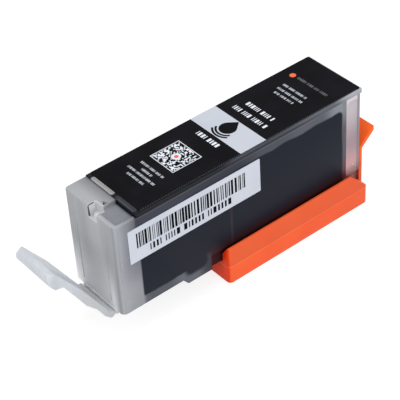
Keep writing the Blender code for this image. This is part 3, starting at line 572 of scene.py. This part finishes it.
def sticker_paper():
    """Cool white coated paper."""
    return grained_finish("sticker paper", ((194, 200, 211), (200, 205, 216)), (0.5, 0.66), 0.15, 0.01,
                          Specular_IOR_Level=0.3)


def black_ink():
    """Wet, glossy ink."""
    return grained_finish("black ink", ((9, 10, 14), (15, 16, 22)), (0.3, 0.42), 2.0, 0.004, IOR=1.35)


def soaked_foam():
    """Open foam, dark with ink."""
    return grained_finish("soaked foam", ((10, 11, 14), (24, 26, 32)), (0.55, 0.8), 0.35, 0.25, 4.0)


def soaked_felt():
    """Dense fibre, dark with ink."""
    return grained_finish("soaked felt", ((14, 13, 16), (34, 31, 34)), (0.75, 0.95), 0.2, 0.15, 3.0)


def ball_plastic():
    """The fill hole's pale ball."""
    return grained_finish("pale ball plastic", ((188, 190, 192), (206, 208, 210)), (0.2, 0.34), 0.3, 0.01)


def board_laminate():
    """Green solder mask over glass cloth."""
    return grained_finish("board laminate", ((22, 62, 40), (28, 76, 48)), (0.3, 0.45), 0.18, 0.01, 3.0)


def seal_rubber():
    """Matt rubber of the cap's seal."""
    return grained_finish("seal rubber", ((46, 46, 50), (62, 61, 64)), (0.6, 0.8), 0.25, 0.03, 4.0)


def print_ink(name, colours, roughness=(0.4, 0.52), **settings):
    """A flat ink of the label or the sticker."""
    return grained_finish(name, colours, roughness, 0.2, 0.006, **settings)


def band_ink():
    """The pale ink of the label's band and its small print."""
    return print_ink("pale band print", ((184, 190, 200), (190, 195, 205)), Specular_IOR_Level=0.3)


def white_ink():
    """The white ink of the label's larger print."""
    return print_ink("white print", ((216, 221, 231), (226, 230, 238)))


def deep_black_ink():
    """The black ink of the drop and the bars."""
    return print_ink("black print", ((12, 12, 15), (20, 20, 24)), (0.42, 0.55), Specular_IOR_Level=0.02)


def orange_ink():
    """The orange ink of the label's dots."""
    return print_ink("orange print", ((228, 84, 40), (240, 100, 56)))


def grey_ink():
    """The grey ink of the label's rear print and its stitched edge."""
    return print_ink("grey print", ((72, 76, 84), (92, 96, 104)))


FINISH = {
    "tank": frosted_tank(),
    "lid": clear_lid(),
    "film": label_film(),
    "cap": orange_cap(),
    "lever": milky_lever(),
    "gold": gold_plating(),
    "ink": black_ink(),
    "foam": soaked_foam(),
    "felt": soaked_felt(),
    "ball": ball_plastic(),
    "paper": sticker_paper(),
    "board": board_laminate(),
    "rubber": seal_rubber(),
    "band_print": band_ink(),
    "white_print": white_ink(),
    "black_print": deep_black_ink(),
    "orange_print": orange_ink(),
    "grey_print": grey_ink(),
}


def add_piece(name, mesh, body, finishes):
    """A new piece that rides on a body and wears these finishes."""
    piece = bpy.data.objects.new(name, mesh)
    bpy.context.scene.collection.objects.link(piece)
    for finish in finishes:
        mesh.materials.append(FINISH[finish])
    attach(piece, body)
    return piece


def mesh_from(shape, name):
    """A mesh made from a bmesh, which is freed."""
    mesh = bpy.data.meshes.new(name)
    shape.to_mesh(mesh)
    shape.free()
    return mesh


def paint_node(node, finish):
    """Gives a CAD node that stays as it is a better finish."""
    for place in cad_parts[node].material_slots:
        place.link = "OBJECT"
        place.material = FINISH[finish]


def eased_mesh(node, width):
    """A copy of a CAD node's mesh with its sharp edges rounded by width."""
    shape = bmesh.new()
    shape.from_mesh(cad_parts[node].data)
    bmesh.ops.remove_doubles(shape, verts=shape.verts, dist=SAME_POINT * MM)
    bmesh.ops.dissolve_limit(shape, angle_limit=FLAT, verts=shape.verts, edges=shape.edges)
    helper = bpy.data.objects.new("easing helper", mesh_from(shape, node + " eased"))
    bpy.context.scene.collection.objects.link(helper)
    bevel = helper.modifiers.new("eased edges", "BEVEL")
    bevel.width = width * MM
    bevel.segments = 2
    bevel.limit_method = "ANGLE"
    bevel.angle_limit = EASED_FROM
    bevel.use_clamp_overlap = True
    bpy.context.view_layer.update()
    eased = bpy.data.meshes.new_from_object(helper.evaluated_get(bpy.context.evaluated_depsgraph_get()))
    bpy.data.objects.remove(helper)
    eased.materials.clear()
    eased.shade_smooth()
    eased.set_sharp_from_angle(angle=SHARP)
    return eased


def dress_node(node, name, body, finish, width):
    """Stands a soft-edged copy of a CAD node in its place."""
    piece = add_piece(name, eased_mesh(node, width), body, [finish])
    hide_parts(node)


class PrintSheet:
    """Flat printed shapes, gathered by ink and lifted a hair off the surface that carries them."""

    def __init__(self, to_surface):
        self.shape = bmesh.new()
        self.to_surface = to_surface

    def outline(self, points, ink, lift=PRINT_LIFT):
        """One closed shape from its corners, in the surface's own two directions."""
        corners = [self.shape.verts.new(self.to_surface(across, up, lift)) for across, up in points]
        self.shape.faces.new(corners).material_index = ink

    def block(self, left, right, low, high, ink, lift=PRINT_LIFT):
        """A plain rectangle."""
        self.outline([(left, low), (right, low), (right, high), (left, high)], ink, lift)

    def border(self, left, right, low, high, stroke, ink):
        """A rectangle drawn as an outline."""
        self.block(left, right, low, low + stroke, ink)
        self.block(left, right, high - stroke, high, ink)
        self.block(left, left + stroke, low + stroke, high - stroke, ink)
        self.block(right - stroke, right, low + stroke, high - stroke, ink)

    def words(self, left, right, middle, height, ink, seed):
        """A line of plain blocks of a few widths, standing for words that aren't copied."""
        pick = random.Random(seed)
        at, run = left, 0
        while at < right - 0.2 * height:
            width = min(pick.choice((0.18, 0.3, 0.5)) * height, right - at)
            self.block(at, at + width, middle - height / 2, middle + height / 2, ink)
            run += 1
            apart = run > 3 and pick.random() < 0.4
            at += width + height * (0.66 if apart else 0.26)
            run = 0 if apart else run

    def lines(self, rows, height, ink, seed):
        """Several lines of words, each from its left end to its right end at its own middle."""
        for count, (left, right, middle) in enumerate(rows):
            self.words(left, right, middle, height, ink, seed + count)

    def ring_piece(self, centre, inner, outer, start, end, ink, lift):
        """Part of a flat ring between two angles in degrees."""
        steps = 14
        for step in range(steps):
            first, last = (math.radians(start + (end - start) * (step + k) / steps) for k in (0, 1))
            corners = ((inner, first), (outer, first), (outer, last), (inner, last))
            points = [(centre[0] + r * math.cos(a), centre[1] + r * math.sin(a)) for r, a in corners]
            self.outline(points, ink, lift)

    def dot(self, centre, radius, ink, lift=PRINT_LIFT):
        """A filled circle."""
        steps = 24
        turns = [2 * math.pi * step / steps for step in range(steps)]
        points = [(centre[0] + radius * math.cos(a), centre[1] + radius * math.sin(a)) for a in turns]
        self.outline(points, ink, lift)

    def finish(self, name, body, slot, finishes):
        """Makes the sheet a piece of the scene."""
        add_piece(name, mesh_from(self.shape, name), body, finishes)


def draw_drop(sheet, centre, radius, tip, ink):
    """A plain drop of ink with two ripples round its foot."""
    shoulder, steps = 48, 24  # the round part starts this many degrees from the tip
    points = []
    for step in range(steps + 1):
        turn = math.radians(shoulder + (360 - 2 * shoulder) * step / steps)
        points.append((centre[0] + radius * math.sin(turn), centre[1] + radius * math.cos(turn)))
    points.append((centre[0], tip))
    sheet.outline(points, ink, OVER_LIFT)
    for ripple, reach in ((1.3, 60), (1.66, 48)):
        inner, outer = radius * (ripple - 0.12), radius * (ripple + 0.12)
        sheet.ring_piece(centre, inner, outer, -90 - reach, -90 + reach, ink, OVER_LIFT)


def draw_module_square(sheet, left, low, size, count, ink, seed):
    """A bordered square of modules set by chance, which stands for a printed code and can't be read."""
    pick = random.Random(seed)
    cell = size / count
    sheet.border(left, left + size, low, low + size, 0.6 * cell, ink)
    for row in range(1, count - 1):
        for column in range(1, count - 1):
            if pick.random() < 0.46:
                side, base = left + column * cell, low + row * cell
                sheet.block(side, side + cell, base, base + cell, ink)


def print_label():
    """The label's band, drop and generic print, read across it and measured from its front edge."""
    def to_label(reading, up, lift):
        return Vector((LABEL_LOW.x + up, -reading, LABEL_HIGH.z + lift)) * MM

    white, black, orange, grey, pale = range(5)
    sheet = PrintSheet(to_label)
    far, near = 0.02 - LABEL_HIGH.y, -0.02 - LABEL_LOW.y
    sheet.block(far, near, *BAND, pale, BAND_LIFT)
    draw_drop(sheet, (-0.4, 36.55), 2.4, 40.3, black)
    sheet.words(-4.4, 4.3, 29.9, 1.5, white, 3)
    draw_module_square(sheet, -5.05, 14.95, 9.3, 25, white, 11)
    sheet.dot((-0.3, 19.65), 1.25, white, OVER_LIFT)
    sheet.dot((-0.3, 19.65), 0.6, orange, TOP_LIFT)
    front_rows = ((-4.7, 4.1, 12.05), (-2.3, 1.8, 10.35), (-5.6, 4.9, 8.65), (-3.6, 3.0, 6.85))
    sheet.lines(front_rows, 0.72, pale, 20)
    sheet.lines(((-5.2, 4.9, 47.25), (-6.5, 6.0, 43.85)), 1.5, white, 30)
    sheet.lines(((-4.9, 3.8, 59.6), (-4.9, 4.6, 57.55), (-4.0, 3.3, 55.65)), 0.8, pale, 40)
    sheet.words(-4.5, 6.7, 64.35, 0.9, grey, 50)
    sheet.dot((-6.3, 64.15), 0.9, orange)
    stitches, pitch = 102, 0.7
    for stitch in range(stitches):
        start = 0.45 + pitch * stitch
        sheet.block(near - 0.12, near, start, start + pitch / 2, grey)
    inks = ["white_print", "black_print", "orange_print", "grey_print", "band_print"]
    sheet.finish("label_print", "tank", "label_film", inks)


def print_sticker():
    """Upright bars drawn by a seeded rule, with a row of plain blocks under them."""
    def to_sticker(along, up, lift):
        return Vector((STICKER_LOW.x + along, STICKER_LOW.y - lift, STICKER_LOW.z + up)) * MM

    sheet = PrintSheet(to_sticker)
    pick = random.Random(7)
    black = 0
    at, end = 2.35, 37.25
    while at < end:
        width = pick.choice((0.2, 0.3, 0.42, 0.42, 0.7))
        sheet.block(at, at + width, 4.0, 8.7, black)
        at += width + pick.choice((0.24, 0.34, 0.34, 0.5))
    sheet.words(6.25, 33.85, 2.35, 2.0, black, 8)
    sheet.finish("sticker_print", "tank", "sticker_paper", ["black_print"])


def plate_contacts():
    """Ten gold pads on the board's raised lands."""
    name = "contact_plating"
    shape = bmesh.new()
    board_middle = (BOARD_LOW.z + BOARD_HIGH.z) / 2
    size = Matrix.Diagonal((*(value * MM for value in PAD_SIZE), 1.0))
    for column in range(5):
        for row in range(2):
            y, z = (column - 2) * PAD_PITCH[0], board_middle + (row - 0.5) * PAD_PITCH[1]
            middle = Vector((BOARD_HIGH.x + 0.01, y, z)) * MM
            bmesh.ops.create_cube(shape, size=1.0, matrix=Matrix.Translation(middle) @ size)
    bmesh.ops.bevel(shape, geom=shape.edges, offset=PAD_EASE * MM, segments=1, affect="EDGES")
    add_piece(name, mesh_from(shape, name), "tank", ["gold"])


def dress_tank():
    """The tank's walls and lid with eased edges, and what they hold and carry."""
    dress_node("tank_body", "tank_walls", "tank", "tank", 0.12)
    dress_node("tank_lid", "lid_plate", "tank", "lid", 0.12)
    paint_node("fill_ball", "ball")
    paint_node("free_ink", "ink")
    paint_node("upper_foam", "foam")
    for node in ("lower_felt", "outlet_wick"):
        paint_node(node, "felt")


def dress_label():
    """The black film and its print."""
    paint_node("top_label", "film")
    print_label()


def dress_sticker():
    """The white sticker and its print."""
    paint_node("side_sticker", "paper")
    print_sticker()


def dress_board():
    """The contact board and its plating."""
    paint_node("contact_board", "board")
    plate_contacts()


def dress_cap():
    """The shipping cap and the seal in its cup."""
    dress_node("shipping_cap", "cap_shell", "cap", "cap", 0.22)
    paint_node("outlet_seal_pad", "rubber")


def dress_lever():
    """The latch lever."""
    dress_node("latch_lever", "lever_arm", "lever", "lever", 0.25)


def seen_directly(tree):
    """1 for what the camera sees itself or in a gloss or through glass, and 0 for light on the object."""
    path = add_node(tree, "ShaderNodeLightPath").outputs
    seen = calculate(tree, "MAXIMUM", path["Is Camera Ray"], path["Is Glossy Ray"])
    return calculate(tree, "MAXIMUM", seen, path["Is Transmission Ray"])


def floor_finish():
    """Pale paper that reads white to the camera and still takes the object's shadow."""
    finish = bpy.data.materials.new("pale floor")
    finish.use_nodes = True
    tree = finish.node_tree
    tree.nodes.clear()
    plain = add_node(tree, "ShaderNodeBsdfDiffuse", {"Color": (0.82, 0.82, 0.83, 1)})
    paper = add_node(tree, "ShaderNodeBsdfDiffuse", {"Color": (0.3, 0.3, 0.3, 1)})
    glow = add_node(tree, "ShaderNodeEmission", {"Strength": 0.78})
    bright = add_node(tree, "ShaderNodeAddShader", {0: paper.outputs[0], 1: glow.outputs[0]})
    sockets = {0: seen_directly(tree), 1: plain.outputs[0], 2: bright.outputs[0]}
    mixed = add_node(tree, "ShaderNodeMixShader", sockets)
    add_node(tree, "ShaderNodeOutputMaterial", {"Surface": mixed.outputs[0]})
    return finish


def set_floor():
    """A plain pale floor under the object."""
    shape = bmesh.new()
    place = Matrix.Translation((0, 0, -0.05 * MM))
    bmesh.ops.create_grid(shape, x_segments=1, y_segments=1, size=3.0, matrix=place)
    floor = bpy.data.objects.new("floor", mesh_from(shape, "floor"))
    bpy.context.scene.collection.objects.link(floor)
    floor.data.materials.append(floor_finish())


def set_sky():
    """An even white sky, dimmer as light on the object than as background."""
    world = bpy.data.worlds.new("studio sky")
    bpy.context.scene.world = world
    world.use_nodes = True
    tree = world.node_tree
    tree.nodes.clear()
    strength = blend_numbers(tree, seen_directly(tree), 0.55, 1.0)
    sky = add_node(tree, "ShaderNodeBackground", {"Color": (1, 1, 1, 1), "Strength": strength})
    add_node(tree, "ShaderNodeOutputWorld", {"Surface": sky.outputs[0]})


def add_softbox(name, place, size, power):
    """One broad, even lamp turned towards the middle of the object."""
    middle = Vector((-0.015, 0.0, 0.02))
    data = bpy.data.lights.new(name, "AREA")
    data.shape = "SQUARE"
    data.size = size
    data.energy = power
    lamp = bpy.data.objects.new(name, data)
    lamp.location = place
    lamp.rotation_euler = (middle - Vector(place)).to_track_quat("-Z", "Y").to_euler()
    bpy.context.scene.collection.objects.link(lamp)


def set_lamps():
    """Soft light from the near side and above, and a little from the latch end."""
    add_softbox("near softbox", (0.05, -0.75, 0.55), 0.5, 3.4)
    add_softbox("top softbox", (-0.1, 0.1, 0.95), 0.6, 3.0)
    add_softbox("latch end softbox", (-0.8, -0.1, 0.4), 0.5, 2.2)


def set_camera():
    """The photograph's viewpoint, as worked out from the object's own edges."""
    right = Vector((0.77138, -0.63416, -0.05296))
    down = Vector((-0.43729, -0.46776, -0.76809))
    forward = Vector((0.46232, 0.61565, -0.63814))
    data = bpy.data.cameras.new("camera")
    data.lens = 133.87
    data.sensor_width = 36.0
    data.clip_start = 0.01
    camera = bpy.data.objects.new("camera", data)
    turn = Matrix((right, -down, -forward)).transposed().to_4x4()
    camera.matrix_world = Matrix.Translation((-0.2014, -0.2364, 0.2659)) @ turn
    bpy.context.scene.collection.objects.link(camera)
    bpy.context.scene.camera = camera


dress_tank()
dress_label()
dress_sticker()
dress_board()
dress_cap()
dress_lever()
set_floor()
set_sky()
set_lamps()
set_camera()
bpy.context.scene.view_settings.view_transform = "Standard"
